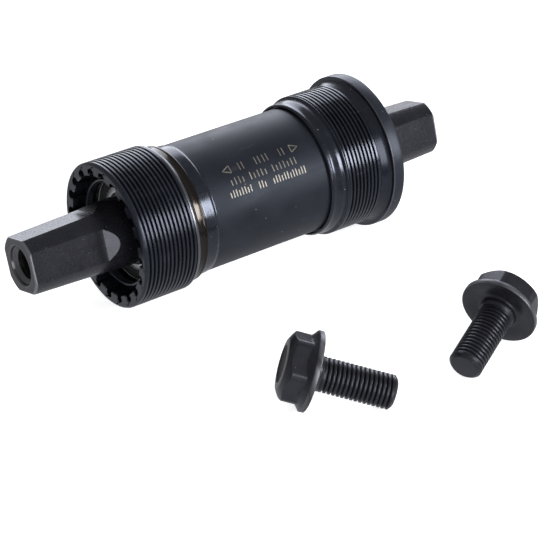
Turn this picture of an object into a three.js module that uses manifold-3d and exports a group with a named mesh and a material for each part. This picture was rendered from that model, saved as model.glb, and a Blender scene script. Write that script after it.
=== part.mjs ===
// Square-taper cartridge bottom bracket for a 68 mm bicycle frame shell, with its two crank bolts.
// Millimetres, +X along the spindle towards the drive (flanged) side, +Z up.
// The origin is on the spindle's axis, in the middle of the frame shell.
import * as THREE from "three";
import { mergeVertices } from "three/addons/utils/BufferGeometryUtils.js";
import Module from "manifold-3d";

// Frame shell and cups
const SHELL_HALF = 34; // the flange seats on the shell's right face
const THREAD_R = 17.4; // 1.37 in x 24 tpi thread, crest radius
const CUP_CHAMFER = 0.5;
const FLANGE_R = 19;
const FLANGE_THICK = 3.3;
const LEFT_FACE = -35.35;
const LEFT_THREAD_END = -20.8;
const LEFT_COLLAR_R = 16.45; // plain end of the left cup
const LEFT_COLLAR_END = -17.75;
const RIGHT_CUP_START = 17.4;
const RIGHT_COLLAR_R = 16.7;
const RIGHT_THREAD_START = 21.6;
const RIGHT_THREAD_END = 31;
const UNDERCUT_R = 16.8; // groove between the right thread and the flange

// Tool splines in both cup mouths
const SPLINES = 20;
const SPLINE_MINOR_R = 14.4;
const SPLINE_ROOT_R = 15.9;
const SPLINE_WIDTH = 2.3;
const WEB_OUT = 31.4; // spline floor, measured from the middle
const WEB_IN = 30.8;
const LIP_X = 32.65; // lip around the hole in the web
const LIP_BORE_R = 12.3;
const LIP_R = 12.8;
const LIP_BASE_R = 13.1;

// Sleeve
const SLEEVE_R = 15.5;
const SLEEVE_BORE_R = 14;
const SLEEVE_HALF = 30.7;
const STOP_BAND_R = 15.7; // raised band on the sleeve that the left cup stops against
const STOP_BAND_START = -17.7;
const STOP_BAND_END = -14.4;
const FIT_GAP = 0.06; // radial gap where round pieces are nested
const RING_GROOVE_R = 14.7;
const RING_IN = 29.5;
const RING_OUT = 30.2;
const RING_BORE_R = 12.7;
const RING_GAP_ANGLE = 0.45; // half the opening of a retaining ring, radians
const SPACER_BORE_R = 12.8;

// Ball bearings, 17 x 28 x 7
const BEARING_IN = 22.4;
const BEARING_WIDTH = 7;
const BEARING_MID = BEARING_IN + BEARING_WIDTH / 2;
const BALLS = 11;
const BALL_R = 1.75;
const PITCH_R = 11.25;
const RACE_GROOVE_R = BALL_R + FIT_GAP;
const INNER_SHOULDER_R = 10.2;
const OUTER_SHOULDER_R = 12.3;
const CAGE_IN_R = 10.75;
const CAGE_OUT_R = 11.75;
const CAGE_HALF = 2.3;
const SEAL_THICK = 0.5;
const SEAL_RECESS = 0.12;
const POCKET_R = 1.95;

// Spindle
const SPINDLE_HALF = 57.5;
const JOURNAL_R = 8.5;
const BARREL_R = 8.2; // at the bearing, from where it tapers to the tip
const CENTRE_R = 9.6; // thick middle between the bearings
const BARREL_END = 29.8;
const END_ACROSS_FLATS = 12.6;
const TAPER = THREE.MathUtils.degToRad(2);
const CORNER_TIP_R = 7.3; // radius over the rounded corners at the tip
const FLAT_END = 39.1; // where a flat stops and runs out to the barrel
const RUNOUT_END = 35.9;
const TIP_CHAMFER = 0.45;
const TIP_FACE_R = 6.85; // beyond the flats, so only the corners are chamfered
const FLAT_PHASE = THREE.MathUtils.degToRad(73.3); // how far the spindle is turned at rest
const BOLT_HOLE_R = 3.5; // M8 x 1, minor radius
const COUNTERBORE_R = 4.65;
const COUNTERBORE_DEPTH = 3;
const BOLT_HOLE_END = 33.5;
const DRILL_POINT = 2;

// Crank bolts, M8 x 1 x 18, 14 mm hexagon with a flange
const BOLT_LENGTH = 18;
const BOLT_R = 3.85;
const BOLT_TIP = 0.7;
const BOLT_FLANGE_R = 8.95;
const BOLT_RIM = 1.2;
const BOLT_FLANGE_TOP = 2.5;
const BOLT_DISH = 0.5;
const HEX_ACROSS_FLATS = 14;
const HEAD_HEIGHT = 7;
const HEAD_CHAMFER = 1;

// Where the loose bolts lie: the surface touches the flange and the left cup from below.
const SURFACE_TILT = Math.atan((FLANGE_R - THREAD_R) / (SHELL_HALF - LEFT_FACE - CUP_CHAMFER));
const SURFACE_Z = -(THREAD_R + Math.tan(SURFACE_TILT) * (-LEFT_FACE - CUP_CHAMFER));
const BOLT_TILT = Math.atan((BOLT_FLANGE_R - BOLT_R) / (BOLT_LENGTH - BOLT_TIP));
const BOLT_LIFT = 0.02;
const LOOSE_BOLTS = [
  { name: "crank_bolt_left", x: -22.5, y: -62.1, heading: -36.5, turn: 44 },
  { name: "crank_bolt_right", x: 25.9, y: -66.1, heading: 204.4, turn: 27 },
];

const ROUND = 40; // sides of the sleeve, the cups and what is nested in them, twice the splines
const SMALL_ROUND = 36; // sides of the spindle and the inner races
const BOLT_ROUND = 20;
const POCKET_ROUND = 8;

const BLACK_OXIDE = { color: 0x2b2a2d, roughness: 0.5, metalness: 0.8 };
const CUP_BLACK = { color: 0x15161b, roughness: 0.3, metalness: 0.7 };
const SLEEVE_BLACK = { color: 0x1b1e26, roughness: 0.35, metalness: 0.6 };
const BEARING_STEEL = { color: 0xb8babd, roughness: 0.25, metalness: 1 };
const CAGE_BRASS = { color: 0x9a7b4a, roughness: 0.4, metalness: 1 };
const SEAL_RUBBER = { color: 0x121212, roughness: 0.75, metalness: 0 };
const SPRING_STEEL = { color: 0x55565a, roughness: 0.4, metalness: 0.9 };

const wasm = await Module();
wasm.setup();

// A closed three.js geometry as a solid that can be joined and cut.
function solid(geometry) {
  const bare = geometry.clone();
  bare.deleteAttribute("normal");
  bare.deleteAttribute("uv");
  const merged = mergeVertices(bare, 1e-4);
  const index = merged.index.array;
  const triVerts = [];
  for (let i = 0; i < index.length; i += 3) {
    const [a, b, c] = index.slice(i, i + 3);
    if (a !== b && b !== c && c !== a) triVerts.push(a, b, c);
  }
  const vertProperties = merged.attributes.position.array;
  return new wasm.Manifold(
    new wasm.Mesh({ numProp: 3, vertProperties, triVerts: new Uint32Array(triVerts) }),
  );
}

function geometryOf(made) {
  const { vertProperties, triVerts } = made.getMesh();
  return new THREE.BufferGeometry()
    .setAttribute("position", new THREE.BufferAttribute(vertProperties, 3))
    .setIndex(new THREE.BufferAttribute(triVerts, 1));
}

function named(name, geometry, finish) {
  const mesh = new THREE.Mesh(geometry, new THREE.MeshStandardMaterial(finish));
  mesh.name = name;
  return mesh;
}

// Turns a profile of [x, radius] points about the X axis. The points run anticlockwise with x to the
// right and radius up. A ring's profile ends on its first point; a solid one starts and ends on the axis.
function turned(profile, sides) {
  const points = profile.map(([x, r]) => new THREE.Vector2(r, x)).reverse();
  return new THREE.LatheGeometry(points, sides).rotateZ(-Math.PI / 2);
}

const ring = (profile, sides) => turned([...profile, profile[0]], sides);

// Mirrors a left-hand profile to the right, or the other way, and keeps its direction.
const mirrored = (profile) => profile.map(([x, r]) => [-x, r]).reverse();

// Extrudes an outline drawn in the YZ plane along X, from one x to another.
function prismAlongX(outline, from, to) {
  const shape = new THREE.Shape(outline.map(([y, z]) => new THREE.Vector2(y, z)));
  const prism = new THREE.ExtrudeGeometry(shape, { depth: to - from, bevelEnabled: false });
  // the shape's x and y become Y and Z, and the extrusion becomes X
  const axes = new THREE.Matrix4().set(0, 0, 1, from, 1, 0, 0, 0, 0, 1, 0, 0, 0, 0, 0, 1);
  return prism.applyMatrix4(axes);
}

// --- cups ---

// The mouth of a right-hand cup, from its outer face to the bore that holds the sleeve.
function mouthProfile(face) {
  return [
    [face, SPLINE_MINOR_R],
    [WEB_OUT, SPLINE_MINOR_R],
    [WEB_OUT + 0.5, LIP_BASE_R],
    [LIP_X, LIP_R],
    [LIP_X, LIP_BORE_R],
    [WEB_IN, LIP_BORE_R],
    [WEB_IN, SLEEVE_R + FIT_GAP],
  ];
}

// The spline spaces of a cup's mouth, as one cutting solid.
function splineSpaces(face) {
  const half = SPLINE_WIDTH / 2;
  const outline = [
    [-half, SPLINE_MINOR_R - 0.6],
    [half, SPLINE_MINOR_R - 0.6],
    [0.8 * half, SPLINE_ROOT_R],
    [-0.8 * half, SPLINE_ROOT_R],
  ];
  const spaces = [];
  for (let i = 0; i < SPLINES; i++) {
    const space = prismAlongX(outline, WEB_OUT + 0.1, face + 1);
    spaces.push(solid(space.rotateX((2 * Math.PI * i) / SPLINES)));
  }
  return wasm.Manifold.union(spaces);
}

function leftCup() {
  const outside = [
    [LEFT_COLLAR_END, SLEEVE_R + FIT_GAP],
    [LEFT_COLLAR_END, LEFT_COLLAR_R - 0.2],
    [LEFT_COLLAR_END - 0.2, LEFT_COLLAR_R],
    [LEFT_THREAD_END + 0.3, LEFT_COLLAR_R],
    [LEFT_THREAD_END, THREAD_R],
    [LEFT_FACE + CUP_CHAMFER, THREAD_R],
    [LEFT_FACE, THREAD_R - CUP_CHAMFER],
  ];
  const mouth = mirrored(mouthProfile(-LEFT_FACE)).reverse();
  const body = solid(ring([...outside, ...mouth], ROUND));
  const spaces = splineSpaces(-LEFT_FACE).mirror([1, 0, 0]);
  return named("left_cup", geometryOf(body.subtract(spaces)), CUP_BLACK);
}

function rightCup() {
  const face = SHELL_HALF + FLANGE_THICK;
  const outside = [
    [face, FLANGE_R - 0.4],
    [face - 0.4, FLANGE_R],
    [SHELL_HALF + 0.3, FLANGE_R],
    [SHELL_HALF, FLANGE_R - 0.3],
    [SHELL_HALF, UNDERCUT_R],
    [RIGHT_THREAD_END + 0.4, UNDERCUT_R],
    [RIGHT_THREAD_END, THREAD_R],
    [RIGHT_THREAD_START + 0.4, THREAD_R],
    [RIGHT_THREAD_START, RIGHT_COLLAR_R],
    [RIGHT_CUP_START + 2.6, RIGHT_COLLAR_R],
    [RIGHT_CUP_START + 1, RIGHT_COLLAR_R - 0.35],
    [RIGHT_CUP_START, SLEEVE_R + 0.15],
    [RIGHT_CUP_START, SLEEVE_R + FIT_GAP],
  ];
  const body = solid(ring([...outside, ...mouthProfile(face).reverse()], ROUND));
  return named("right_cup", geometryOf(body.subtract(splineSpaces(face))), CUP_BLACK);
}

// --- sleeve and what holds the bearings in it ---

function sleeve() {
  const rightEnd = [
    [RING_IN - 0.05, SLEEVE_BORE_R],
    [RING_IN - 0.05, RING_GROOVE_R],
    [RING_OUT + 0.05, RING_GROOVE_R],
    [RING_OUT + 0.05, SLEEVE_BORE_R],
    [SLEEVE_HALF, SLEEVE_BORE_R],
    [SLEEVE_HALF, SLEEVE_R],
  ];
  const stopBand = [
    [STOP_BAND_END, SLEEVE_R],
    [STOP_BAND_END, STOP_BAND_R],
    [STOP_BAND_START, STOP_BAND_R],
    [STOP_BAND_START, SLEEVE_R],
  ];
  const profile = [...rightEnd, ...stopBand, ...mirrored(rightEnd)];
  return named("sleeve", ring(profile, ROUND), SLEEVE_BLACK);
}

function spacerTube() {
  const half = BEARING_IN - 0.05;
  const outer = SLEEVE_BORE_R - FIT_GAP;
  const profile = [
    [half, SPACER_BORE_R],
    [half, outer],
    [-half, outer],
    [-half, SPACER_BORE_R],
  ];
  return named("spacer_tube", ring(profile, ROUND), BEARING_STEEL);
}

// A C-shaped ring that springs into the sleeve's groove, with its opening at the bottom.
function retainingRing(side, sign) {
  const outer = RING_GROOVE_R - FIT_GAP;
  const start = -Math.PI / 2 + RING_GAP_ANGLE;
  const end = (3 * Math.PI) / 2 - RING_GAP_ANGLE;
  const shape = new THREE.Shape();
  shape.absarc(0, 0, outer, start, end, false);
  shape.absarc(0, 0, RING_BORE_R, end, start, true);
  const outline = shape.getPoints(10).map((p) => [p.x, p.y]);
  const [from, to] = sign > 0 ? [RING_IN, RING_OUT] : [-RING_OUT, -RING_IN];
  return named(`${side}_retaining_ring`, prismAlongX(outline, from, to), SPRING_STEEL);
}

// --- bearings ---

// The arc of a race's groove, between its two shoulders, as [x, radius] points about the ball's centre.
function grooveArc(shoulder, steps = 3) {
  const reach = Math.acos(Math.abs(PITCH_R - shoulder) / RACE_GROOVE_R);
  const out = Math.sign(shoulder - PITCH_R);
  const points = [];
  for (let i = 0; i <= steps; i++) {
    const angle = reach * (1 - (2 * i) / steps);
    points.push([RACE_GROOVE_R * Math.sin(angle), PITCH_R + out * RACE_GROOVE_R * Math.cos(angle)]);
  }
  return points;
}

function innerRace() {
  const half = BEARING_WIDTH / 2;
  const bore = JOURNAL_R + FIT_GAP;
  const corners = [
    [-half, INNER_SHOULDER_R],
    [-half, bore],
    [half, bore],
    [half, INNER_SHOULDER_R],
  ];
  return ring([...corners, ...grooveArc(INNER_SHOULDER_R)], SMALL_ROUND);
}

function outerRace() {
  const half = BEARING_WIDTH / 2;
  const outer = SLEEVE_BORE_R - FIT_GAP;
  const corners = [
    [half, OUTER_SHOULDER_R],
    [half, outer],
    [-half, outer],
    [-half, OUTER_SHOULDER_R],
  ];
  return ring([...corners, ...grooveArc(OUTER_SHOULDER_R).reverse()], ROUND);
}

// A seal is clipped into the outer race and its lip stays clear of the inner one.
function seal(sign) {
  const near = BEARING_WIDTH / 2 - SEAL_RECESS - SEAL_THICK;
  const lip = INNER_SHOULDER_R + 0.12;
  const rim = OUTER_SHOULDER_R - 0.08;
  const profile = [
    [near + SEAL_THICK, lip],
    [near + SEAL_THICK, rim],
    [near, rim],
    [near, lip],
  ];
  return ring(sign > 0 ? profile : mirrored(profile), ROUND);
}

const ballAngle = (i) => (2 * Math.PI * i) / BALLS;

function ball(i) {
  const made = new THREE.IcosahedronGeometry(BALL_R, 1);
  return made.translate(0, PITCH_R, 0).rotateX(ballAngle(i));
}

// A one-piece ring with a round pocket through it for each ball.
function cage() {
  const profile = [
    [CAGE_HALF, CAGE_IN_R],
    [CAGE_HALF, CAGE_OUT_R],
    [-CAGE_HALF, CAGE_OUT_R],
    [-CAGE_HALF, CAGE_IN_R],
  ];
  let made = solid(ring(profile, 3 * BALLS));
  for (let i = 0; i < BALLS; i++) {
    const pocket = new THREE.CylinderGeometry(POCKET_R, POCKET_R, 4, POCKET_ROUND);
    pocket.rotateY(Math.PI / POCKET_ROUND).translate(0, PITCH_R, 0);
    made = made.subtract(solid(pocket.rotateX(ballAngle(i))));
  }
  return geometryOf(made);
}

function bearing(side, sign) {
  const group = new THREE.Group();
  group.position.x = sign * BEARING_MID;
  group.add(
    named(`${side}_inner_race`, innerRace(), BEARING_STEEL),
    named(`${side}_outer_race`, outerRace(), BEARING_STEEL),
    named(`${side}_outboard_seal`, seal(sign), SEAL_RUBBER),
    named(`${side}_inboard_seal`, seal(-sign), SEAL_RUBBER),
    named(`${side}_ball_cage`, cage(), CAGE_BRASS),
  );
  for (let i = 0; i < BALLS; i++) {
    const number = String(i + 1).padStart(2, "0");
    group.add(named(`${side}_ball_${number}`, ball(i), BEARING_STEEL));
  }
  return group;
}

// --- spindle ---

const taperRise = (x) => Math.tan(TAPER) * (SPINDLE_HALF - x);
const flatHeight = (x) => END_ACROSS_FLATS / 2 + taperRise(x);
const cornerRadius = (x) =>
  BARREL_R - ((BARREL_R - CORNER_TIP_R) * (x - BARREL_END)) / (SPINDLE_HALF - BARREL_END);

function spindleBlank() {
  const rightHalf = [
    [BOLT_HOLE_END - DRILL_POINT, 0],
    [BOLT_HOLE_END, BOLT_HOLE_R],
    [SPINDLE_HALF - COUNTERBORE_DEPTH - 0.6, BOLT_HOLE_R],
    [SPINDLE_HALF - COUNTERBORE_DEPTH, COUNTERBORE_R],
    [SPINDLE_HALF, COUNTERBORE_R],
    [SPINDLE_HALF, TIP_FACE_R],
    [SPINDLE_HALF - TIP_CHAMFER, cornerRadius(SPINDLE_HALF - TIP_CHAMFER)],
    [BARREL_END, BARREL_R],
    [BARREL_END - 0.2, JOURNAL_R],
    [BEARING_IN - 0.05, JOURNAL_R],
    [BEARING_IN - 0.05, CENTRE_R],
  ];
  return solid(turned([...rightHalf, ...mirrored(rightHalf)], SMALL_ROUND));
}

// What is milled away beside one flat of the right-hand end: the taper, then the run-out to the barrel.
function flatCutter() {
  const beyond = SPINDLE_HALF + 1;
  const high = BARREL_R + 2;
  const shape = new THREE.Shape();
  shape.moveTo(beyond, flatHeight(beyond));
  shape.lineTo(beyond, high);
  shape.lineTo(RUNOUT_END - 1, high);
  shape.lineTo(RUNOUT_END, cornerRadius(RUNOUT_END));
  shape.lineTo(FLAT_END, flatHeight(FLAT_END));
  const wide = 2 * BARREL_R;
  const slab = new THREE.ExtrudeGeometry(shape, { depth: wide, bevelEnabled: false });
  return slab.translate(0, 0, -wide / 2);
}

function spindle() {
  let made = spindleBlank();
  for (let i = 0; i < 4; i++) {
    const right = solid(flatCutter().rotateX(FLAT_PHASE + (i * Math.PI) / 2));
    made = made.subtract(right).subtract(right.mirror([1, 0, 0]));
  }
  return named("spindle", geometryOf(made), BLACK_OXIDE);
}

// --- crank bolts ---

// The bolt's axis is X, its head's underside is at x = 0 and its thread points to +X.
function crankBolt(name) {
  const turnedPart = [
    [-BOLT_FLANGE_TOP, 0],
    [-BOLT_FLANGE_TOP, HEX_ACROSS_FLATS / 2 + 0.4],
    [-BOLT_RIM, BOLT_FLANGE_R - 0.15],
    [-BOLT_RIM + 0.15, BOLT_FLANGE_R],
    [-0.15, BOLT_FLANGE_R],
    [0, BOLT_FLANGE_R - 0.15],
    [0, BOLT_FLANGE_R - 1.8],
    [-BOLT_DISH, BOLT_R + 0.9],
    [-BOLT_DISH + 0.25, BOLT_R + 0.3],
    [0.1, BOLT_R],
    [BOLT_LENGTH - BOLT_TIP, BOLT_R],
    [BOLT_LENGTH, BOLT_R - BOLT_TIP],
    [BOLT_LENGTH, 0],
  ];
  const corner = HEX_ACROSS_FLATS / 2 / Math.cos(Math.PI / 6);
  const headTop = [
    [-HEAD_HEIGHT, 0],
    [-HEAD_HEIGHT, corner - 1.9],
    [-HEAD_HEIGHT + 0.4 * HEAD_CHAMFER, corner - 0.9],
    [-HEAD_HEIGHT + HEAD_CHAMFER, corner - 0.2],
    [-HEAD_HEIGHT + 1.6 * HEAD_CHAMFER, corner + 0.1],
    [-1, corner + 0.1],
    [-1, 0],
  ];
  const hexagon = [];
  for (let i = 0; i < 6; i++) {
    hexagon.push([corner * Math.cos((i * Math.PI) / 3), corner * Math.sin((i * Math.PI) / 3)]);
  }
  const head = solid(prismAlongX(hexagon, -HEAD_HEIGHT, -1.5));
  const domed = head.intersect(solid(turned(headTop.reverse(), BOLT_ROUND)));
  const body = solid(turned(turnedPart.reverse(), BOLT_ROUND));
  return named(name, geometryOf(body.add(domed)), BLACK_OXIDE);
}

// The bolts lie on the surface on the edge of the flange and the end of the thread.
function looseBolts() {
  const surface = new THREE.Group();
  surface.position.z = SURFACE_Z;
  surface.rotation.y = SURFACE_TILT;
  for (const { name, x, y, heading, turn } of LOOSE_BOLTS) {
    const place = new THREE.Group();
    place.position.set(x, y, BOLT_FLANGE_R * Math.cos(BOLT_TILT) + BOLT_LIFT);
    const turnAngle = THREE.MathUtils.degToRad(turn);
    place.rotation.set(turnAngle, BOLT_TILT, THREE.MathUtils.degToRad(heading), "ZYX");
    place.add(crankBolt(name));
    surface.add(place);
  }
  return surface;
}

const bottomBracket = new THREE.Group();
bottomBracket.add(sleeve(), spacerTube(), leftCup(), rightCup(), spindle());
for (const [side, sign] of [["left", -1], ["right", 1]]) {
  bottomBracket.add(bearing(side, sign), retainingRing(side, sign));
}
bottomBracket.add(looseBolts());

export default bottomBracket;
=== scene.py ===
"""The looks of a square-taper bottom bracket and its two crank bolts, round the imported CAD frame.

Lengths are in millimetres until a mesh is made, X runs along the spindle, and Z is up.
"""

import math
import bmesh
import bpy
import numpy as np
from mathutils import Matrix, Vector

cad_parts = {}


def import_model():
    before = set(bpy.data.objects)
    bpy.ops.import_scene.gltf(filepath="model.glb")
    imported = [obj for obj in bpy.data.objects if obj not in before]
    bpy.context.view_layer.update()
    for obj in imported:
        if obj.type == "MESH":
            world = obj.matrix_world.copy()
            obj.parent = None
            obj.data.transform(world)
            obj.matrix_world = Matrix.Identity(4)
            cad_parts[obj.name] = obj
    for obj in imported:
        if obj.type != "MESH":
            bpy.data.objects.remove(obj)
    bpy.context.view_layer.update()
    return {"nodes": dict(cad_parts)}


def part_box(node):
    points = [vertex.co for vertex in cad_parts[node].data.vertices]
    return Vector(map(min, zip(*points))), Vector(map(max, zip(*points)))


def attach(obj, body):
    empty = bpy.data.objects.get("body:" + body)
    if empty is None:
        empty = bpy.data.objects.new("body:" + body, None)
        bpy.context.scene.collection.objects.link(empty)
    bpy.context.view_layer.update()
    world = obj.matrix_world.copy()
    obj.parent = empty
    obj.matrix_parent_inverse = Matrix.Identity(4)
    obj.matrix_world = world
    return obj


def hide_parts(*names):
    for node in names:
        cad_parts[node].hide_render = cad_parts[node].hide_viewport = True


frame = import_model()

MM = 0.001
TAU = 2 * math.pi

# --- sizes, taken from the frame where it has them ---


def corner(node, which, axis):
    """A coordinate of a CAD node's box in mm, at its low corner, which=0, or its high one, 1."""
    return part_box(node)[which][axis] / MM


LEFT_FACE = corner("left_cup", 0, 0)
LEFT_COLLAR_END = corner("left_cup", 1, 0)
RIGHT_FACE = corner("right_cup", 1, 0)
RIGHT_START = corner("right_cup", 0, 0)
THREAD_R = corner("left_cup", 1, 1)
FLANGE_R = corner("right_cup", 1, 1)
FLANGE_SEAT = 34.0
# The bright line on the flange's corner is a painted highlight, from the lighter steel put on it.
FLANGE_BREAK = 0.26  # the bright corner round the flange's seat
SLEEVE_R = 15.5
SLEEVE_HALF = corner("sleeve", 1, 0)
SLEEVE_BORE_R = 14.0
SPINDLE_HALF = corner("spindle", 1, 0)
FIT = 0.06  # gap between pieces that fit closely
MERGE = 2e-5  # points nearer than this are made one

THREAD_PITCH = 25.4 / 24
THREAD_DEPTH = 0.62
BOLT_PITCH = 1.0
LEFT_THREAD_END = -20.8
LEFT_COLLAR_R = 16.45
LEFT_COLLAR_DIP = 0.14  # the shallow band turned into the collar
STOP_BAND_R = 15.7  # raised band on the sleeve that the left cup stops against
STOP_BAND_START = -17.7
STOP_BAND_END = -14.4
RIGHT_COLLAR_R = 16.7
RIGHT_THREAD_START = 21.5
RIGHT_THREAD_END = 31.2
UNDERCUT_R = 16.75
RIM_R = THREAD_R - 0.7  # where a cup's outside ends and the face of its mouth begins
THREAD_LEAD = 0.55  # from the left cup's shoulder to where its thread begins

SPLINES = 20
SPLINE_MINOR_R = 14.4
SPLINE_ROOT_R = 15.9
SPLINE_POINTS = 18  # points round one spline space and the tooth beside it
RIM_POINTS = SPLINES * SPLINE_POINTS
WEB_OUT = 31.4
WEB_IN = 30.8
LIP_X = 32.65
LIP_BORE_R = 12.3
MOUTH_BEVEL = 0.22

RING_GROOVE_OUT = 30.25  # the sleeve's grooves for the retaining rings
RING_GROOVE_IN = 29.45
RING_GROOVE_R = 14.7

BEARING_MID = 25.9
BEARING_HALF = 3.5
BALL_R = 1.75
PITCH_R = 11.25
INNER_SHOULDER_R = 10.2
OUTER_SHOULDER_R = 12.3
BALLS = 11
RING_POINTS = 180

# --- meshes from loops of points ---


class Skin:
    """Collects quads between loops of points and makes one mesh of them."""

    def __init__(self):
        self.points, self.faces, self.slots, self.count = [], [], [], 0

    def add(self, loops, wrap=True, material=0):
        """Joins each loop, an (n, 3) array, to the next. wrap joins each loop's end to its start."""
        loops = np.asarray(loops, float)
        rows, n = loops.shape[:2]
        self.points.append(loops.reshape(-1, 3))
        index = self.count + np.arange(rows * n).reshape(rows, n)
        self.count += rows * n
        turn = np.roll(index, -1, 1) if wrap else index[:, 1:]
        here = index if wrap else index[:, :-1]
        quads = np.stack([here[:-1], turn[:-1], turn[1:], here[1:]], -1).reshape(-1, 4)
        self.faces.append(quads)
        self.slots.append(np.full(len(quads), material))
        return self

    def mesh(self, name, sharp=30.0):
        """A mesh in metres, its doubled points merged and its faces turned outwards."""
        mesh = bpy.data.meshes.new(name)
        points = np.concatenate(self.points) * MM
        mesh.from_pydata(points, [], np.concatenate(self.faces).tolist())
        mesh.polygons.foreach_set("material_index", np.concatenate(self.slots))
        b = bmesh.new()
        b.from_mesh(mesh)
        bmesh.ops.remove_doubles(b, verts=b.verts, dist=MERGE * MM)
        bmesh.ops.dissolve_degenerate(b, edges=b.edges, dist=MERGE * MM)
        bmesh.ops.recalc_face_normals(b, faces=b.faces)
        b.to_mesh(mesh)
        b.free()
        mesh.shade_smooth()
        mesh.set_sharp_from_angle(angle=math.radians(sharp))
        return mesh


def angles(n):
    return np.arange(n) * TAU / n


def circle(x, radius, n=RIM_POINTS):
    """A loop about the X axis. radius is a number, or one for each point."""
    a = angles(n)
    r = np.broadcast_to(radius, (n,))
    return np.stack([np.full(n, float(x)), r * np.cos(a), r * np.sin(a)], -1)


def softened(profile, steps=4):
    """A profile of (x, radius, corner) points, each inner one rounded over its corner length."""
    pts = [np.array(p[:2], float) for p in profile]
    cuts = [p[2] if len(p) > 2 else 0 for p in profile]
    out = []
    for i, (p, cut) in enumerate(zip(pts, cuts)):
        if not cut or i in (0, len(pts) - 1):
            out.append(p)
            continue
        before, after = pts[i - 1], pts[i + 1]
        a = p + (before - p) * min(0.5, cut / np.linalg.norm(before - p))
        b = p + (after - p) * min(0.5, cut / np.linalg.norm(after - p))
        for k in range(steps + 1):
            t = k / steps
            out.append((1 - t) ** 2 * a + 2 * t * (1 - t) * p + t * t * b)
    return out


def turned(profile, n=RIM_POINTS, steps=4):
    """Loops for a profile of (x, radius, corner) points turned about the X axis."""
    return [circle(x, r, n) for x, r in softened(profile, steps)]


def thread(
    start, end, crest, depth, pitch, n, hand=1, per_turn=10, fade=(0.5, 0.5), inside=False
):
    """Rows of points for a helical thread between two planes. Each row follows the helix, and is
    held at the planes, where the thread fades out into a plain cylinder of the crest radius. The
    columns of a left-hand thread, hand -1, run backwards."""
    step = pitch / per_turn
    rows = int(round((end - start) / step)) + per_turn
    i = np.arange(rows + 1)[:, None]
    j = np.arange(n + 1)[None, :]
    x = np.clip(start + i * step - pitch * (1 - j / n), start, end)
    phase = ((x - start) / pitch - j / n) % 1.0
    groove = np.clip(1.25 - np.abs(2 * phase - 1) * 2.2, 0, 1)  # flat root, then two slopes
    groove = groove * groove * (3 - 2 * groove)
    near = np.clip((x - start) / fade[0], 0, 1) * np.clip((end - x) / fade[1], 0, 1)
    cut = depth * groove * near
    r = crest + cut if inside else crest - cut
    a = hand * TAU * j / n + 0 * x
    return np.stack([x, r * np.cos(a), r * np.sin(a)], -1)


def piece(name, mesh, body, materials, replaced):
    """Makes the object that shows in place of the replaced CAD nodes, riding on their body."""
    made = bpy.data.objects.new(name, mesh)
    bpy.context.scene.collection.objects.link(made)
    for m in materials:
        mesh.materials.append(m)
    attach(made, body)
    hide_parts(*replaced)


# --- materials ---


class Nodes:
    """A short way to write a material's nodes."""

    def __init__(self, name):
        self.material = bpy.data.materials.new(name)
        self.material.use_nodes = True
        self.tree = self.material.node_tree
        self.shader = next(n for n in self.tree.nodes if n.type == "BSDF_PRINCIPLED")

    def add(self, kind, **settings):
        node = self.tree.nodes.new(kind)
        for key, value in settings.items():
            if key in node.inputs:
                node.inputs[key].default_value = value
            else:
                setattr(node, key, value)
        return node

    def link(self, output, target):
        self.tree.links.new(output, target)

    def set(self, **values):
        for key, value in values.items():
            self.shader.inputs[key.replace("_", " ")].default_value = value

    def place(self, scale=(1, 1, 1)):
        coord = self.add("ShaderNodeTexCoord")
        mapping = self.add("ShaderNodeMapping")
        mapping.inputs["Scale"].default_value = scale
        self.link(coord.outputs["Object"], mapping.inputs["Vector"])
        return mapping.outputs["Vector"]

    def noise(self, where, scale, detail=4.0, roughness=0.55):
        node = self.add("ShaderNodeTexNoise", Scale=scale, Detail=detail, Roughness=roughness)
        self.link(where, node.inputs["Vector"])
        return node.outputs["Fac"]

    def spots(self, where, scale):
        """Distance to the nearest of some scattered points, in cells."""
        node = self.add("ShaderNodeTexVoronoi", Scale=scale)
        self.link(where, node.inputs["Vector"])
        return node.outputs["Distance"]

    def ramp(self, value, stops):
        node = self.add("ShaderNodeValToRGB")
        elements = node.color_ramp.elements
        while len(elements) < len(stops):
            elements.new(0.5)
        for element, (at, colour) in zip(elements, stops):
            element.position = at
            element.color = (*colour, 1)
        self.link(value, node.inputs["Fac"])
        return node.outputs["Color"]

    def mix(self, amount, under, colour):
        node = self.add("ShaderNodeMix", data_type="RGBA")
        self.link(amount, node.inputs["Factor"])
        self.link(under, node.inputs["A"])
        node.inputs["B"].default_value = (*colour, 1)
        return node.outputs["Result"]

    def span(self, value, low, high, start=0.0, end=1.0):
        node = self.add("ShaderNodeMapRange")
        node.inputs["From Min"].default_value = start
        node.inputs["From Max"].default_value = end
        node.inputs["To Min"].default_value = low
        node.inputs["To Max"].default_value = high
        self.link(value, node.inputs["Value"])
        return node.outputs["Result"]

    def bump(self, height, distance, strength=1.0, over=None):
        node = self.add("ShaderNodeBump", Strength=strength, Distance=distance)
        self.link(height, node.inputs["Height"])
        if over is not None:
            self.link(over, node.inputs["Normal"])
        return node.outputs["Normal"]


SPECK = (0.2, 0.2, 0.2)  # colour of the pale specks
SCUFF = (0.045, 0.047, 0.055)  # colour of the scuffs


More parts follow.
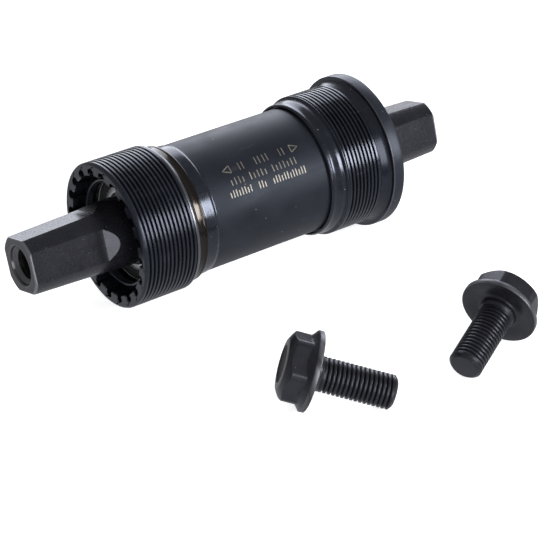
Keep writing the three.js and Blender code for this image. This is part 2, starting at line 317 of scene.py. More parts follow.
def black_oxide(name, roughness, shine=0.45):
    """Forged steel with a satin black oxide: a fine grain, cloudy colour and a few pale specks."""
    m = Nodes(name)
    where = m.place()
    cloud = m.noise(where, 260, 5, 0.6)
    grain = m.noise(where, 2600, 3, 0.6)
    specks = m.spots(where, 700)
    tone = m.ramp(cloud, [(0.3, (0.007, 0.007, 0.009)), (0.7, (0.013, 0.013, 0.0165))])
    speck = m.ramp(specks, [(0.035, (1, 1, 1)), (0.06, (0, 0, 0))])
    m.link(m.mix(speck, tone, SPECK), m.shader.inputs["Base Color"])
    m.link(m.span(grain, roughness - 0.06, roughness + 0.06, 0.3, 0.7), m.shader.inputs["Roughness"])
    rough = m.bump(grain, 0.00002, 0.35)
    m.link(m.bump(cloud, 0.00012, 0.35, rough), m.shader.inputs["Normal"])
    m.set(Specular_IOR_Level=shine, Specular_Tint=(0.86, 0.87, 1, 1))
    return m.material


def black_coat(name, low, high, roughness, cloud_scale=180, shine=0.5):
    """Steel with a semi-gloss black coat: slightly cloudy, with scuffs and a few pale specks."""
    m = Nodes(name)
    where = m.place()
    cloud = m.noise(where, cloud_scale, 4, 0.55)
    fine = m.noise(where, 3200, 2, 0.5)
    scuff = m.noise(m.place((90, 420, 300)), 1.0, 7, 0.68)
    worn = m.ramp(scuff, [(0.6, (0, 0, 0)), (0.8, (0.5, 0.5, 0.5))])
    tone = m.mix(worn, m.ramp(cloud, [(0.3, low), (0.7, high)]), SCUFF)
    specks = m.ramp(m.spots(where, 330), [(0.03, (1, 1, 1)), (0.05, (0, 0, 0))])
    m.link(m.mix(specks, tone, SPECK), m.shader.inputs["Base Color"])
    gloss = m.add("ShaderNodeMath", operation="ADD")
    m.link(m.span(cloud, roughness - 0.05, roughness + 0.07, 0.3, 0.7), gloss.inputs[0])
    m.link(m.span(scuff, 0.0, 0.12, 0.55, 0.75), gloss.inputs[1])
    m.link(gloss.outputs[0], m.shader.inputs["Roughness"])
    m.link(m.bump(fine, 0.000012, 0.5), m.shader.inputs["Normal"])
    m.set(Specular_Tint=(0.74, 0.81, 1, 1), Specular_IOR_Level=shine)
    return m.material


def turned_steel(name, low, high, roughness, metallic=1.0, lines=900):
    """Bare turned steel, with fine rings round the axis."""
    m = Nodes(name)
    rings = m.noise(m.place((lines, 4, 4)), 1.0, 3, 0.6)
    m.link(m.ramp(rings, [(0.3, low), (0.7, high)]), m.shader.inputs["Base Color"])
    m.link(m.span(rings, roughness - 0.06, roughness + 0.08, 0.3, 0.7), m.shader.inputs["Roughness"])
    m.link(m.bump(rings, 0.00001, 0.5), m.shader.inputs["Normal"])
    m.set(Metallic=metallic)
    return m.material


def rubber():
    """Black seal rubber with a little dust."""
    m = Nodes("seal_rubber")
    dust = m.noise(m.place(), 700, 4, 0.6)
    tone = m.ramp(dust, [(0.3, (0.010, 0.010, 0.011)), (0.75, (0.022, 0.022, 0.022))])
    m.link(tone, m.shader.inputs["Base Color"])
    m.link(m.span(dust, 0.5, 0.7, 0.3, 0.7), m.shader.inputs["Roughness"])
    m.link(m.bump(dust, 0.00003, 0.4), m.shader.inputs["Normal"])
    return m.material


# --- cups ---


def spline_outline(grow=0.0):
    """The inside outline of a mouth, round all its spline spaces, as (y, z) points. grow opens it.

    One side of a tooth and of the space beside it is drawn, as (across, out) points, and mirrored.
    """
    tooth = [-TAU / SPLINES / 2, -math.radians(7), -math.radians(4.9)]
    flank = [(-1.02, 14.52), (-0.96, 14.8), (-1.1, 15.1), (-1.08, 15.42), (-0.78, 15.72)]
    flank.append((-0.3, 15.88))
    half = [(SPLINE_MINOR_R * math.sin(a), SPLINE_MINOR_R * math.cos(a)) for a in tooth] + flank
    period = half + [(0.0, SPLINE_ROOT_R)] + [(-t, r) for t, r in half[:0:-1]]
    loop = []
    for k in range(SPLINES):
        c, s = math.cos(k * TAU / SPLINES), math.sin(k * TAU / SPLINES)
        loop += [(r * c - t * s, r * s + t * c) for t, r in period]
    loop = np.array(loop)
    along = np.roll(loop, -1, 0) - np.roll(loop, 1, 0)
    normal = np.stack([along[:, 1], -along[:, 0]], -1) / np.linalg.norm(along, axis=1)[:, None]
    return loop + grow * normal


def outline_at(x, grow=0.0):
    """The same outline as a loop at x."""
    yz = spline_outline(grow)
    return np.column_stack([np.full(len(yz), x), yz])


def mouth(face):
    """Loops of the right cup's mouth, in three strips: its face, the bevel of its splines, and the
    rest, up to the bore for the sleeve."""
    outer, edge = outline_at(face, MOUTH_BEVEL), outline_at(face - MOUTH_BEVEL)
    inner = [
        (WEB_OUT, SPLINE_MINOR_R - 0.15),
        (WEB_OUT + 0.35, 13.5, 0.3),
        (LIP_X - 0.35, 13.0, 0.3),
        (LIP_X, 12.85, 0.12),
        (LIP_X, LIP_BORE_R, 0.12),
        (WEB_IN, LIP_BORE_R, 0.1),
        (WEB_IN, SLEEVE_R + FIT),
    ]
    return [circle(face, RIM_R), outer], [outer, edge], [edge, outline_at(WEB_OUT), *turned(inner)]


def flipped(loops):
    """The same loops on the other side of the middle plane."""
    return np.asarray(loops) * np.array([-1, 1, 1])


def left_cup(black, collar, painted_highlight_steel):
    skin = Skin()
    face = -LEFT_FACE
    start = face - 0.45
    end = -LEFT_THREAD_END
    rows = thread(
        end + THREAD_LEAD, start, THREAD_R, THREAD_DEPTH, THREAD_PITCH, RIM_POINTS, fade=(0.3, 0.4)
    )
    edge = [
        (start, THREAD_R),
        (start + 0.25, THREAD_R - 0.12, 0.2),
        (face, THREAD_R - 0.5, 0.1),
        (face, RIM_R),
    ]
    step = [
        (-LEFT_COLLAR_END, SLEEVE_R + FIT),
        (-LEFT_COLLAR_END, LEFT_COLLAR_R - 0.02, 0.25),
        (-LEFT_COLLAR_END + 0.5, LEFT_COLLAR_R, 0.2),
        (-LEFT_COLLAR_END + 0.75, LEFT_COLLAR_R - LEFT_COLLAR_DIP, 0.15),
        (end - 0.95, LEFT_COLLAR_R - LEFT_COLLAR_DIP, 0.15),
        (end - 0.75, LEFT_COLLAR_R, 0.15),
        (end - 0.6, LEFT_COLLAR_R - 0.1),
    ]
    shoulder = [
        (end - 0.6, LEFT_COLLAR_R - 0.1),
        (end - 0.45, LEFT_COLLAR_R, 0.1),
        (end - 0.3, THREAD_R - 0.3, 0.2),
        (end + 0.05, THREAD_R - 0.02, 0.3),
        (end + 0.4, THREAD_R, 0.2),
        (end + THREAD_LEAD, THREAD_R),
    ]
    skin.add(flipped(turned(step)), material=1)
    # The shoulder's chamfer is painted lighter, as a painted highlight line.
    skin.add(flipped(turned(shoulder)), material=2)
    skin.add(flipped(rows), wrap=False)
    skin.add(flipped(turned(edge)))
    # The bevel of the splines is painted lighter, as painted glints.
    for strip, material in zip(mouth(face), (0, 2, 0)):
        skin.add(flipped(strip), material=material)
    skin.add(flipped([circle(WEB_IN, SLEEVE_R + FIT), circle(-LEFT_COLLAR_END, SLEEVE_R + FIT)]))
    mesh = skin.mesh("left_cup_body")
    finishes = [black, collar, painted_highlight_steel]
    piece("left_cup_body", mesh, "left_cup", finishes, ["left_cup"])


def right_cup(black, painted_highlight_steel, flange_steel):
    skin = Skin()
    thread_from = RIGHT_THREAD_START + 0.3
    sleeve_from = RIGHT_START + 1.2
    rows = thread(
        thread_from, RIGHT_THREAD_END, THREAD_R, THREAD_DEPTH, THREAD_PITCH, RIM_POINTS, hand=-1
    )
    before = [
        (sleeve_from, SLEEVE_R + FIT),
        (sleeve_from, SLEEVE_R + 0.4, 0.1),
        (RIGHT_START + 0.05, SLEEVE_R + 0.4, 0.1),
        (RIGHT_START, SLEEVE_R + 0.62, 0.12),
        (RIGHT_START + 0.45, RIGHT_COLLAR_R - 0.2, 0.3),
        (RIGHT_START + 1.3, RIGHT_COLLAR_R - 0.3, 0.4),
        (RIGHT_START + 2.4, RIGHT_COLLAR_R - 0.1, 0.5),
        (RIGHT_START + 2.9, RIGHT_COLLAR_R, 0.2),
        (RIGHT_THREAD_START - 0.25, RIGHT_COLLAR_R, 0.15),
        (RIGHT_THREAD_START - 0.1, THREAD_R - 0.25, 0.15),
        (RIGHT_THREAD_START + 0.1, THREAD_R, 0.15),
        (thread_from, THREAD_R),
    ]
    after = [
        (RIGHT_THREAD_END, THREAD_R),
        (RIGHT_THREAD_END + 0.2, THREAD_R - 0.2, 0.15),
        (RIGHT_THREAD_END + 0.55, UNDERCUT_R + 0.05, 0.3),
        (FLANGE_SEAT - 0.7, UNDERCUT_R + 0.76, 0.3),
        (FLANGE_SEAT, UNDERCUT_R + 1.2, 0.3),
        (FLANGE_SEAT, FLANGE_R - FLANGE_BREAK),
    ]
    corner_strip = [
        (FLANGE_SEAT, FLANGE_R - FLANGE_BREAK),
        (FLANGE_SEAT + 0.05, FLANGE_R - 0.05, 0.15),
        (FLANGE_SEAT + FLANGE_BREAK, FLANGE_R),
    ]
    flange = [
        (FLANGE_SEAT + FLANGE_BREAK, FLANGE_R),
        (RIGHT_FACE - 0.3, FLANGE_R, 0.4),
        (RIGHT_FACE, FLANGE_R - 0.5, 0.3),
        (RIGHT_FACE, RIM_R),
    ]
    skin.add(turned(before))
    skin.add(rows[:, ::-1], wrap=False)  # back in the order of the other loops
    skin.add(turned(after, steps=8))
    # The flange's corner is painted lighter, as a painted highlight line.
    skin.add(turned(corner_strip), material=1)
    skin.add(turned(flange), material=2)
    # The bevel of the splines is painted lighter, as painted glints.
    for strip, material in zip(mouth(RIGHT_FACE), (0, 1, 0)):
        skin.add(strip, material=material)
    skin.add([circle(WEB_IN, SLEEVE_R + FIT), circle(sleeve_from, SLEEVE_R + FIT)])
    mesh = skin.mesh("right_cup_body")
    finishes = [black, painted_highlight_steel, flange_steel]
    piece("right_cup_body", mesh, "housing", finishes, ["right_cup"])


# --- sleeve ---


MARK_DEPTH = 0.05  # how far a mark is let into the sleeve
MARK_HEIGHT = 0.012
MARK_WIDTH = 0.25
ROW_1, ROW_2, ROW_3 = 127.8, 139.0, 149.0  # middle of each row of marks, in degrees from +Y
ROW_1_TICKS = (-4.4, -3.4, 0.2, 1.2, 2.4, 3.4, 7.0, 8.0)
ROW_HEIGHT = 1.9
TRIANGLES = ((-6.9, -9.0), (10.1, 12.1))  # the base and the point of each, along the sleeve
LOWER_ROWS = (  # middle, start, pitch, how many places and which of them are gaps
    (ROW_2, -7.9, 1.05, 18, (4, 10)),
    (ROW_3, -9.2, 0.8, 27, (8, 9, 13, 14)),
)


def stroke(x1, a1, x2, a2, steps=5):
    """A thin slab let into the sleeve along a line, from one (x, degrees) to another."""
    arc = math.radians(1) * SLEEVE_R
    ends = np.array([(x1, a1 * arc), (x2, a2 * arc)])
    along = (ends[1] - ends[0]) / np.linalg.norm(ends[1] - ends[0])
    side = np.array([-along[1], along[0]]) * MARK_WIDTH / 2
    low, high = SLEEVE_R - MARK_DEPTH, SLEEVE_R + MARK_HEIGHT
    loops = []
    for t in np.linspace(0, 1, steps):
        middle = ends[0] + (ends[1] - ends[0]) * t
        left, right = middle + side, middle - side
        loop = []
        for (x, round_it), r in ((left, low), (left, high), (right, high), (right, low)):
            a = round_it / SLEEVE_R
            loop.append((x, r * math.cos(a), r * math.sin(a)))
        loops.append(loop)
    first = np.tile(np.mean(loops[0], 0), (4, 1))
    last = np.tile(np.mean(loops[-1], 0), (4, 1))
    return [first, *loops, last]


def etched_marks():
    """Plain marks: a row of ticks between two triangles, and two more rows of ticks below."""
    half = ROW_HEIGHT / 2 / (math.radians(1) * SLEEVE_R)
    marks = []
    for base, point in TRIANGLES:
        corners = [(base, ROW_1 - half), (base, ROW_1 + half), (point, ROW_1)]
        marks += [stroke(*corners[i], *corners[i - 1]) for i in range(3)]
    for x in ROW_1_TICKS:
        marks.append(stroke(x, ROW_1 - half, x, ROW_1 + half))
    for row, start, pitch, count, gaps in LOWER_ROWS:
        for i in range(count):
            if i in gaps:
                continue
            short = half * (0.9 if i % 3 else 0.45)
            marks.append(stroke(start + i * pitch, row - short, start + i * pitch, row + half * 0.9))
    return marks


def sleeve(black, marks, band_steel):
    half = SLEEVE_HALF
    profile = [
        (0.0, SLEEVE_R),
        (RIGHT_START - 2.2, SLEEVE_R),
        (half, SLEEVE_R, 0.3),
        (half, SLEEVE_BORE_R, 0.2),
        (RING_GROOVE_OUT, SLEEVE_BORE_R),
        (RING_GROOVE_OUT, RING_GROOVE_R),
        (RING_GROOVE_IN, RING_GROOVE_R),
        (RING_GROOVE_IN, SLEEVE_BORE_R),
        (-RING_GROOVE_IN, SLEEVE_BORE_R),
        (-RING_GROOVE_IN, RING_GROOVE_R),
        (-RING_GROOVE_OUT, RING_GROOVE_R),
        (-RING_GROOVE_OUT, SLEEVE_BORE_R),
        (-half, SLEEVE_BORE_R, 0.2),
        (-half, SLEEVE_R, 0.3),
        (STOP_BAND_START, SLEEVE_R),
    ]
    band = [
        (STOP_BAND_START, SLEEVE_R),
        (STOP_BAND_START, STOP_BAND_R - 0.02, 0.1),
        (STOP_BAND_START + 0.6, STOP_BAND_R - 0.03, 0.2),
        (STOP_BAND_END - 0.75, STOP_BAND_R, 0.3),
        (STOP_BAND_END - 0.25, STOP_BAND_R - 0.03, 0.25),
        (STOP_BAND_END, SLEEVE_R, 0.15),
        (STOP_BAND_END + 0.3, SLEEVE_R),
    ]
    skin = Skin().add(turned([(STOP_BAND_END + 0.3, SLEEVE_R), *profile]))
    skin.add(turned(band), material=2)
    for loops in etched_marks():
        skin.add(loops, material=1)
    mesh = skin.mesh("sleeve_tube")
    finishes = [black, marks, band_steel]
    piece("sleeve_tube", mesh, "housing", finishes, ["sleeve"])


# --- bearings ---


def ring_piece(name, profile, body, material, node, shift, sign=1):
    """A turned ring. Its profile is drawn about its own middle, for the right-hand side."""
    loops = np.asarray(turned([*profile, profile[0]], RING_POINTS)) * np.array([sign, 1, 1])
    loops[..., 0] += shift
    piece(name, Skin().add(loops).mesh(name), body, [material], [node])


def groove(shoulder, steps=10):
    """Profile points of a race's groove from one shoulder to the other."""
    r = BALL_R + FIT
    reach = math.acos(abs(PITCH_R - shoulder) / r)
    out = math.copysign(1, shoulder - PITCH_R)
    turns = [reach * (1 - 2 * i / steps) for i in range(steps + 1)]
    return [(r * math.sin(a), PITCH_R + out * r * math.cos(a)) for a in turns]


def race(bore_r, shoulder, rounding):
    """Profile of a race, from its smooth side to its shoulders and the groove between them."""
    h = BEARING_HALF
    return [
        (0, bore_r),
        (h, bore_r, 0.3),
        (h, shoulder, rounding),
        *groove(shoulder),
        (-h, shoulder, rounding),
        (-h, bore_r, 0.3),
    ]


def bearing(side, sign, steel, black_rubber):
    """Both races, the two seals and the balls of one bearing. sign is -1 for the left one."""
    middle = sign * BEARING_MID
    h = BEARING_HALF
    for name, profile, body in (
        ("inner", race(JOURNAL_R + FIT, INNER_SHOULDER_R, 0.15), "spindle"),
        ("outer", race(SLEEVE_BORE_R - FIT, OUTER_SHOULDER_R, 0.1), "housing"),
    ):
        node = f"{side}_{name}_race"
        ring_piece(f"{side}_{name}_ring", profile, body, steel, node, middle)
    lip, rim = INNER_SHOULDER_R + 0.12, OUTER_SHOULDER_R - 0.08
    near = h - 0.62
    far = h - 0.12
    face = [
        (near, rim),
        (far - 0.05, rim, 0.1),
        (far, rim - 0.2, 0.1),
        (far, rim - 0.5, 0.1),
        (far - 0.15, rim - 0.6, 0.1),
        (far - 0.15, lip + 0.5, 0.1),
        (far, lip + 0.4, 0.1),
        (far, lip + 0.05, 0.1),
        (near, lip, 0.05),
    ]
    for where, way in (("outboard", sign), ("inboard", -sign)):
        name = f"{side}_{where}_seal"
        ring_piece(
            name + "_lip", face, "housing", black_rubber, name, middle, way
        )
    for i in range(BALLS):
        ball(f"{side}_ball_{i + 1:02d}", f"{side}_ball_set", middle, i * TAU / BALLS, steel)


def ball(node, body, x, angle, steel):
    b = bmesh.new()
    bmesh.ops.create_icosphere(b, subdivisions=3, radius=BALL_R * MM)
    at = Vector((x, PITCH_R * math.cos(angle), PITCH_R * math.sin(angle))) * MM
    bmesh.ops.translate(b, verts=b.verts, vec=at)
    mesh = bpy.data.meshes.new(node + "_steel")
    b.to_mesh(mesh)
    b.free()
    mesh.shade_smooth()
    piece(node + "_steel", mesh, body, [steel], [node])


# --- spindle ---

END_ACROSS_FLATS = 12.6
TAPER = math.tan(math.radians(2))
FLAT_PHASE = math.radians(73.3)  # the middle of one flat, from +Y
FLAT_END = 39.1  # the flats are straight from the tip to here, and run out at RUNOUT_END
RUNOUT_END = 35.9
BARREL_R = 8.2
BARREL_END = 29.8
JOURNAL_R = 8.5
JOURNAL_START = 22.5
JOURNAL_END = 29.5
CENTRE_R = 9.6
CENTRE_END = 22.35
TIP_CHAMFER = 0.45
TIP_FACE_R = 6.85
TIP_BEVEL = 0.2  # on the ends of the flats
CORNER_TIP_R = 7.3  # over the rounded corners at the tip
FLAT_STEPS = 8
CORNER_STEPS = 24
SPINDLE_POINTS = 4 * (FLAT_STEPS + CORNER_STEPS)


def corner_radius(x):
    """Radius over the rounded corners, which taper from the barrel to the tip."""
    return BARREL_R - (BARREL_R - CORNER_TIP_R) * (x - BARREL_END) / (SPINDLE_HALF - BARREL_END)


def flat_height(x):
    """How far the flats are from the axis at x. Beyond the run-out there are none."""
    taper = END_ACROSS_FLATS / 2 + TAPER * (SPINDLE_HALF - x)
    if x >= FLAT_END:
        return taper
    t = (FLAT_END - x) / (FLAT_END - RUNOUT_END)
    low = END_ACROSS_FLATS / 2 + TAPER * (SPINDLE_HALF - FLAT_END)
    return low + (corner_radius(RUNOUT_END) - low) * t


def squared_loop(x, radius, height):
    """A round section with four flats, or a plain circle where the flats don't reach it."""
    half = math.acos(min(1.0, height / radius))
    loop = []
    for k in range(4):
        middle = FLAT_PHASE + k * TAU / 4
        for i in range(FLAT_STEPS):
            a = -half + 2 * half * i / FLAT_STEPS
            r = height / math.cos(a) if half > 0 else radius
            loop.append((x, r * math.cos(middle + a), r * math.sin(middle + a)))
        for i in range(CORNER_STEPS):
            a = middle + half + (TAU / 4 - 2 * half) * i / CORNER_STEPS
            loop.append((x, radius * math.cos(a), radius * math.sin(a)))
    return np.array(loop)


def spindle_end():
    """Loops of the right half in two strips: from the middle to the chamfer, and the chamfer."""
    loops = []
    body = [
        (0.0, CENTRE_R),
        (CENTRE_END, CENTRE_R, 0.3),
        (CENTRE_END, JOURNAL_R + 0.1, 0.1),
        (JOURNAL_START, JOURNAL_R, 0.1),
        (JOURNAL_END, JOURNAL_R, 0.2),
        (BARREL_END, BARREL_R, 0.2),
        (RUNOUT_END - 0.02, corner_radius(RUNOUT_END - 0.02)),
    ]
    for x, r in softened(body):
        loops.append(squared_loop(x, r, r + 1))
    for t in np.linspace(0, 1, 25):
        x = RUNOUT_END + (FLAT_END - RUNOUT_END) * t ** 1.6
        loops.append(squared_loop(x, corner_radius(x), flat_height(x)))
    for x in np.linspace(FLAT_END, SPINDLE_HALF - TIP_CHAMFER, 12)[1:]:
        loops.append(squared_loop(x, corner_radius(x), flat_height(x)))
    land = corner_radius(SPINDLE_HALF - TIP_CHAMFER)
    tip = [loops[-1]]
    for t in np.linspace(0, 1, 17)[1:]:
        x = SPINDLE_HALF - TIP_CHAMFER * (1 - t)
        bevel = TIP_BEVEL * max(0.0, (t - 0.5) / 0.5) ** 2
        tip.append(squared_loop(x, land + (TIP_FACE_R - land) * t ** 1.3, flat_height(x) - bevel))
    return loops, tip


HOLE_CREST_R = 3.5
HOLE_COUNTER_R = 4.65
HOLE_COUNTER_DEPTH = 0.8
HOLE_LEAD = 0.7  # from the counterbore to the thread
HOLE_THREAD_END = 38.0
HOLE_END = 33.5
DRILL_POINT = 2.0


def bolt_hole():
    """Loops from the tip's face down to the thread, the thread, and the drilled point."""
    n = SPINDLE_POINTS
    mouth_end = SPINDLE_HALF - HOLE_COUNTER_DEPTH
    entry = [
        (SPINDLE_HALF, 5.1),
        (SPINDLE_HALF, 4.95, 0.05),
        (SPINDLE_HALF - 0.25, HOLE_COUNTER_R, 0.05),
        (mouth_end, HOLE_COUNTER_R - 0.1, 0.1),
        (mouth_end - 0.6, HOLE_CREST_R + 0.1, 0.1),
        (mouth_end - HOLE_LEAD, HOLE_CREST_R),
    ]
    start = mouth_end - HOLE_LEAD
    rows = thread(
        HOLE_THREAD_END, start, HOLE_CREST_R, 0.5, BOLT_PITCH, n, per_turn=8, inside=True
    )
    end = [
        circle(HOLE_THREAD_END, HOLE_CREST_R, n),
        circle(HOLE_END, HOLE_CREST_R, n),
        circle(HOLE_END - DRILL_POINT, 0.0, n),
    ]
    return turned(entry, n), rows, end


def spindle(steel, edge, thread_steel):
    skin = Skin()
    outside, tip = spindle_end()
    entry, rows, end = bolt_hole()
    # The tip's loops begin on a flat and the hole's at +Y, so the face between them turns one round.
    shift = round(SPINDLE_POINTS * (FLAT_PHASE / TAU) - FLAT_STEPS / 2)
    face = [tip[-1], np.roll(entry[0], -shift, 0)]
    for side in (1, -1):
        flip = np.array([side, 1, 1])
        skin.add(np.asarray(outside) * flip)
        # The tip's chamfer is painted lighter, as a painted highlight.
        skin.add(np.asarray(tip) * flip, material=1)
        skin.add(np.asarray(face) * flip)
        skin.add(np.asarray(entry) * flip, material=2)
        skin.add(rows * flip, wrap=False, material=2)
        skin.add(np.asarray(end) * flip, material=2)
    mesh = skin.mesh("spindle_shaft", sharp=18)
    finishes = [steel, edge, thread_steel]
    piece("spindle_shaft", mesh, "spindle", finishes, ["spindle"])


# --- crank bolts, and the surface that everything lies on ---

# The surface touches the right flange and the end of the left cup's thread.
SURFACE_TILT = math.atan((FLANGE_R - THREAD_R) / (FLANGE_SEAT - LEFT_FACE - 0.5))
SURFACE_Z = -(THREAD_R + math.tan(SURFACE_TILT) * (-LEFT_FACE - 0.5))
SURFACE = Matrix.Translation((0, 0, SURFACE_Z * MM)) @ Matrix.Rotation(SURFACE_TILT, 4, "Y")
LOOSE = {  # where each bolt lies on the surface in mm, and its heading and turn in degrees
    "crank_bolt_left": {"x": -22.5, "y": -62.1, "heading": -36.5, "turn": 44},
    "crank_bolt_right": {"x": 25.9, "y": -66.1, "heading": 204.4, "turn": 27},
}

BOLT_POINTS = 144
BOLT_LENGTH = 18.0
BOLT_R = 3.85
BOLT_TIP = 0.75  # length and depth of the chamfer at the bolt's end
BOLT_FLANGE_R = 8.95
BOLT_TILT = math.atan((BOLT_FLANGE_R - BOLT_R) / (BOLT_LENGTH - 0.7))
HEX_HALF = 7.0
HEX_CORNER_CUT = 0.25
HEX_EDGE_SOFTENING = 0.12  # how much lower an edge is, over HEX_EDGE_ANGLE on each side
HEX_EDGE_ANGLE = 0.06
NECK_END = 1.7
HEAD_HEIGHT = 7.0
STAMP_R = 4.2  # the shallow hollow in the head's top
STAMP_DEPTH = 0.12
CROWN_R = 5.7  # where the top's slight crown turns into the dome
CROWN_DROP = 0.16
DOME_RISE = 2.6
DOME_DEPTH = 2.3
CONE_START, CONE_END = -2.7, -1.2  # where the head spreads out to its flange
CONE_R = 7.2
CONE_EDGE_R = BOLT_FLANGE_R - 0.2


def hex_radius():
    """Radius of the hexagon at each angle, its corners slightly rounded."""
    a = angles(BOLT_POINTS) % (TAU / 6) - TAU / 12
    sharp = HEX_HALF / np.cos(a)
    limit = HEX_HALF / math.cos(TAU / 12) - HEX_CORNER_CUT
    near_edge = np.exp(-((np.abs(a) - TAU / 12) / HEX_EDGE_ANGLE) ** 2)
    return np.minimum(sharp, limit) - HEX_EDGE_SOFTENING * near_edge


def bolt_loops():
    """Loops of a bolt along X: its head above the flange, and then five strips of their own finish,
    which are the stamped top, the flange's three edges and the underside down to the thread."""
    n = BOLT_POINTS
    hexagon = hex_radius()
    hollow = -HEAD_HEIGHT + STAMP_DEPTH
    stamped = [
        circle(hollow, 0.0, n),
        circle(hollow, STAMP_R - 0.3, n),
        circle(-HEAD_HEIGHT, STAMP_R, n),
    ]
    loops = stamped[-1:]
    for t in np.linspace(0, 1, 7)[1:]:
        x = -HEAD_HEIGHT + CROWN_DROP * t * t
        loops.append(circle(x, STAMP_R + (CROWN_R - STAMP_R) * t, n))
    top = -HEAD_HEIGHT + CROWN_DROP
    for x in np.linspace(top, CONE_END, 90)[1:]:
        dome = CROWN_R + DOME_RISE * (1 - (1 - min(1.0, (x - top) / DOME_DEPTH)) ** 1.7)
        cone = 0.0
        if x > CONE_START:
            s = (x - CONE_START) / (CONE_END - CONE_START)
            cone = CONE_R + (CONE_EDGE_R - CONE_R) * s ** 1.25
        loops.append(circle(x, np.maximum(np.minimum(hexagon, dome), cone), n))
    upper = [(CONE_END, CONE_EDGE_R), (-1.06, BOLT_FLANGE_R - 0.03, 0.08), (-1.0, BOLT_FLANGE_R)]
    rim = [(-1.0, BOLT_FLANGE_R), (-0.2, BOLT_FLANGE_R)]
    lower = [(-0.2, BOLT_FLANGE_R), (-0.05, BOLT_FLANGE_R - 0.03, 0.1), (0.0, BOLT_FLANGE_R - 0.22)]
    under = [
        (0.0, BOLT_FLANGE_R - 0.22),
        (0.0, BOLT_FLANGE_R - 1.8, 0.5),
        (-0.35, BOLT_R + 1.4, 0.4),
        (-0.3, BOLT_R + 0.75, 0.2),
        (0.0, BOLT_R + 0.45, 0.2),
        (NECK_END - 0.7, BOLT_R + 0.4, 0.3),
        (NECK_END - 0.15, BOLT_R - 0.12, 0.2),
        (NECK_END, BOLT_R),
    ]
    return loops, [stamped, *(turned(profile, n) for profile in (upper, rim, lower, under))]


def crank_bolt(node, body, steel, edge, stamped_steel):
    head, strips = bolt_loops()
    n = BOLT_POINTS
    thread_end = BOLT_LENGTH - BOLT_TIP
    rows = thread(NECK_END, thread_end, BOLT_R, 0.55, BOLT_PITCH, n, per_turn=8, fade=(0.5, 0.4))
    tip = [
        (thread_end, BOLT_R),
        (BOLT_LENGTH - 0.6, BOLT_R - 0.1, 0.1),
        (BOLT_LENGTH, BOLT_R - BOLT_TIP, 0.15),
        (BOLT_LENGTH, 0.0),
    ]
    skin = Skin().add(head).add(rows, wrap=False).add(turned(tip, n))
    # The flange's rim and its two corners are painted lighter; the corners' light lines are painted
    # highlights.
    for strip, material in zip(strips, (2, 1, 1, 1, 0)):
        skin.add(strip, material=material)
    mesh = skin.mesh(node + "_steel", sharp=35)
    mesh.transform(bolt_place(node))
    finishes = [steel, edge, stamped_steel]
    piece(node + "_steel", mesh, body, finishes, [node])


def bolt_place(node):
    """Where a bolt lies on the surface, resting on its flange and the end of its thread."""
    lay = LOOSE[node]
    at = Vector((lay["x"], lay["y"], BOLT_FLANGE_R * math.cos(BOLT_TILT) + 0.02)) * MM
    turn = Matrix.Rotation(math.radians(lay["heading"]), 4, "Z") @ Matrix.Rotation(BOLT_TILT, 4, "Y")
    spin = Matrix.Rotation(math.radians(lay["turn"]), 4, "X")
    return SURFACE @ Matrix.Translation(at) @ turn @ spin


# --- stage ---


FLOOR_HALF = 3.0  # metres


def floor():
    mesh = bpy.data.meshes.new("floor")
    spots = [(x * FLOOR_HALF, y * FLOOR_HALF, 0) for x, y in ((-1, -1), (1, -1), (1, 1), (-1, 1))]
    mesh.from_pydata(spots, [], [(0, 1, 2, 3)])
    made = bpy.data.objects.new("floor", mesh)
    bpy.context.scene.collection.objects.link(made)
    made.matrix_world = SURFACE
    m = Nodes("pale_floor")
    m.set(Base_Color=(0.9, 0.9, 0.9, 1), Roughness=0.9)
    m.set(Emission_Color=(1, 1, 1, 1), Emission_Strength=0.75)
    mesh.materials.append(m.material)
    made.visible_glossy = False


def soft_light(name, at, width, height, power, towards=(0, 0, 0), colour=(1, 1, 1)):
    """A softbox. Its place and its size are in metres."""
    light = bpy.data.lights.new(name, "AREA")
    light.energy = power
    light.color = colour
    light.shape = "RECTANGLE"
    light.size = width
    light.size_y = height
    made = bpy.data.objects.new(name, light)
    bpy.context.scene.collection.objects.link(made)
    made.location = at
    made.rotation_euler = (Vector(towards) - Vector(at)).to_track_quat("-Z", "Y").to_euler()


def world(above, below):
    """Soft light all round, brighter below the horizon, as over a white table. The camera sees
    plain white."""
    w = bpy.data.worlds.new("studio")
    bpy.context.scene.world = w
    w.use_nodes = True
    nodes, links = w.node_tree.nodes, w.node_tree.links
    back = nodes["Background"]
    back.inputs["Color"].default_value = (0.95, 0.96, 1.0, 1)
    split = nodes.new("ShaderNodeSeparateXYZ")
    links.new(nodes.new("ShaderNodeTexCoord").outputs["Generated"], split.inputs[0])
    rise = nodes.new("ShaderNodeMapRange")
    for key, value in (("From Min", -0.3), ("From Max", 0.0), ("To Min", below), ("To Max", above)):
        rise.inputs[key].default_value = value
    links.new(split.outputs["Z"], rise.inputs["Value"])
    mix = nodes.new("ShaderNodeMix")
    links.new(nodes.new("ShaderNodeLightPath").outputs["Is Camera Ray"], mix.inputs["Factor"])
    links.new(rise.outputs["Result"], mix.inputs["A"])
    mix.inputs["B"].default_value = 1.0
    links.new(mix.outputs["Result"], back.inputs["Strength"])


CAMERA_AT = Vector((-232.7, -345.3, 227.4)) * MM
LOOKS_AT = Vector((-0.06, -16.36, -14.6)) * MM
CAMERA_ROLL = math.radians(-0.82)
LENS = 131.9
SENSOR_WIDTH = 36


def camera():
    data = bpy.data.cameras.new("camera")
    data.lens = LENS
    data.sensor_width = SENSOR_WIDTH
    made = bpy.data.objects.new("camera", data)
    bpy.context.scene.collection.objects.link(made)
    made.location = CAMERA_AT
    aim = (LOOKS_AT - CAMERA_AT).to_track_quat("-Z", "Y").to_matrix()
    made.rotation_euler = (aim @ Matrix.Rotation(CAMERA_ROLL, 3, "Z")).to_euler()
    bpy.context.scene.camera = made


# --- the whole ---

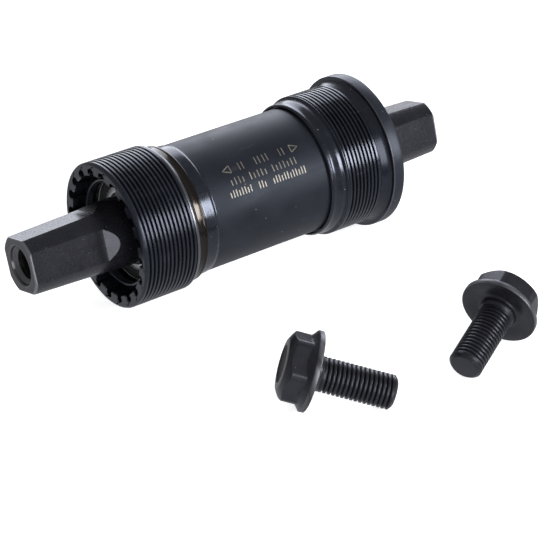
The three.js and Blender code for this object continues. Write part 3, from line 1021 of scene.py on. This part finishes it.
camera()
world(0.34, 0.62)
floor()
soft_light("backdrop", (0.77, 0.84, 0.5), 1.3, 0.98, 15.0, (0, 0, 0.5), (0.88, 0.91, 1.0))
soft_light("strip", (0.455, -0.735, 0.29), 0.2, 0.36, 5.2)
soft_light("fill", (-0.17, -0.88, 0.24), 0.34, 0.56, 3.6)

spindle_oxide = black_oxide("spindle_black_oxide", 0.23)
bolt_oxide = black_oxide("bolt_black_oxide", 0.33)
stamped_oxide = black_oxide("stamped_black_oxide", 0.6, 0.12)
left_black = black_coat("left_cup_black", (0.004, 0.0045, 0.0065), (0.008, 0.009, 0.013), 0.28)
right_black = black_coat("right_cup_black", (0.004, 0.0045, 0.0065), (0.009, 0.010, 0.014), 0.2)
sleeve_black = black_coat(
    "black_sleeve_steel", (0.006, 0.007, 0.010), (0.011, 0.013, 0.018), 0.47, 120, 0.3
)
collar_brown = turned_steel("cup_collar", (0.026, 0.0228, 0.0205), (0.04, 0.035, 0.0312), 0.14, 0.9)
flange_black = black_coat("flange_black", (0.006, 0.0068, 0.0095), (0.011, 0.0125, 0.0175), 0.4)
band_black = black_coat(
    "black_band_steel", (0.005, 0.006, 0.0085), (0.010, 0.0115, 0.016), 0.18, 120
)
sleeve_marks = turned_steel("sleeve_marks", (0.13, 0.122, 0.105), (0.3, 0.28, 0.24), 0.42, 0.6)
bolt_thread_steel = turned_steel(
    "bolt_thread_steel", (0.08, 0.08, 0.086), (0.17, 0.17, 0.18), 0.3, 0.9
)
# Lighter steel on the spindle tip's chamfer: a painted highlight along the tip's edges.
tip_painted_highlight = turned_steel("tip_painted_highlight", (0.1, 0.1, 0.11), (0.3, 0.3, 0.32), 0.35, 0.8, 300)
# Lighter steel on the cups' spline bevels, the left cup's shoulder and the flange's corner: painted
# highlights, as glints and thin light lines.
cup_edge_painted_highlight = turned_steel("cup_edge_painted_highlight", (0.06, 0.062, 0.07), (0.2, 0.205, 0.23), 0.3, 0.8, 300)
# Lighter steel on the bolts' flange: a lighter rim band, and painted highlight lines along its two
# corners.
bolt_rim_and_painted_highlight = turned_steel("bolt_rim_and_painted_highlight", (0.05, 0.05, 0.057), (0.2, 0.2, 0.22), 0.4, 0.8, 500)
bearing_steel = turned_steel("bearing_steel", (0.5, 0.5, 0.51), (0.66, 0.66, 0.67), 0.22)
cage_brass = turned_steel("cage_brass", (0.48, 0.33, 0.15), (0.6, 0.43, 0.21), 0.32)
spring_steel = turned_steel("spring_steel", (0.06, 0.06, 0.065), (0.11, 0.11, 0.12), 0.4)
seal_rubber = rubber()

left_cup(left_black, collar_brown, cup_edge_painted_highlight)
right_cup(right_black, cup_edge_painted_highlight, flange_black)
sleeve(sleeve_black, sleeve_marks, band_black)
spindle(spindle_oxide, tip_painted_highlight, bolt_thread_steel)
for side, sign in (("left", -1), ("right", 1)):
    bearing(side, sign, bearing_steel, seal_rubber)
    crank_bolt(f"crank_bolt_{side}", f"{side}_crank_bolt", bolt_oxide, bolt_rim_and_painted_highlight, stamped_oxide)

# These CAD nodes keep their own shape and only get a finish.
for node, material in (
    ("spacer_tube", bearing_steel),
    ("left_ball_cage", cage_brass),
    ("right_ball_cage", cage_brass),
    ("left_retaining_ring", spring_steel),
    ("right_retaining_ring", spring_steel),
):
    frame["nodes"][node].data.materials.clear()
    frame["nodes"][node].data.materials.append(material)

bpy.context.scene.view_settings.view_transform = "Standard"


def corners(box):
    """A box's two corners as plain lists."""
    return [list(v) for v in box]
